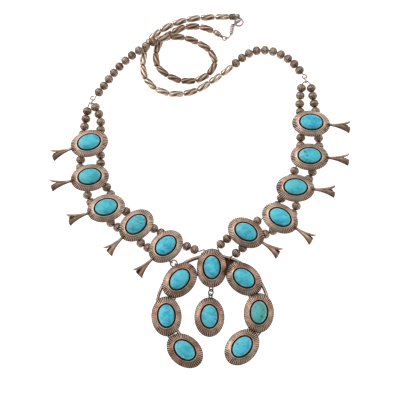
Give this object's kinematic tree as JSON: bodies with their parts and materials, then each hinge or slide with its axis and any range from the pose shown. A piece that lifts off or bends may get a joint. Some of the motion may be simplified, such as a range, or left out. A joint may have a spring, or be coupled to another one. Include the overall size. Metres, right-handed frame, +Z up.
{
  "type": "squash blossom necklace",
  "caption": "Silver necklace of drilled beads and blossom settings with oval turquoise stones, a horseshoe naja pendant with a drop, and a hook clasp, lying flat.",
  "frame": {"origin": "under the middle of the whole necklace's bounding box, on the surface it lies on", "axes": "+Z up from the surface, -Y towards the naja pendant, +Y towards the clasp"},
  "size_m": [0.1928, 0.2356, 0.0131],
  "materials": {
    "silver": "aged silver with a warm tarnish",
    "turquoise": "polished stone",
    "thread": "dull dark wire thread"
  },
  "bodies": {
    "root": {"left_blossom_1": "silver", "left_stone_1": "turquoise", "left_blossom_2": "silver", "left_stone_2": "turquoise", "left_blossom_3": "silver", "left_stone_3": "turquoise", "left_blossom_4": "silver", "left_stone_4": "turquoise", "left_blossom_5": "silver", "left_stone_5": "turquoise", "right_blossom_1": "silver", "right_stone_1": "turquoise", "right_blossom_2": "silver", "right_stone_2": "turquoise", "right_blossom_3": "silver", "right_stone_3": "turquoise", "right_blossom_4": "silver", "right_stone_4": "turquoise", "right_blossom_5": "silver", "right_stone_5": "turquoise", "naja_stone_1": "turquoise", "naja_stone_2": "turquoise", "naja_stone_3": "turquoise", "naja_stone_4": "turquoise", "naja_stone_5": "turquoise", "naja_stone_6": "turquoise", "naja_stone_7": "turquoise", "drop_stone": "turquoise", "naja": "silver", "naja_ring": "silver", "drop_setting": "silver", "drop_ring": "silver", "cone_end": "silver", "hook": "silver", "end_bead": "silver", "eye_end": "silver", "left_round_beads": "silver", "left_tube_beads": "silver", "left_outer_beads": "silver", "left_inner_beads": "silver", "left_shoulder_ring": "silver", "left_thread": "thread", "left_double_thread": "thread", "right_round_beads": "silver", "right_tube_beads": "silver", "right_outer_beads": "silver", "right_inner_beads": "silver", "right_shoulder_ring": "silver", "right_thread": "thread", "right_double_thread": "thread"}
  },
  "joints": []
}
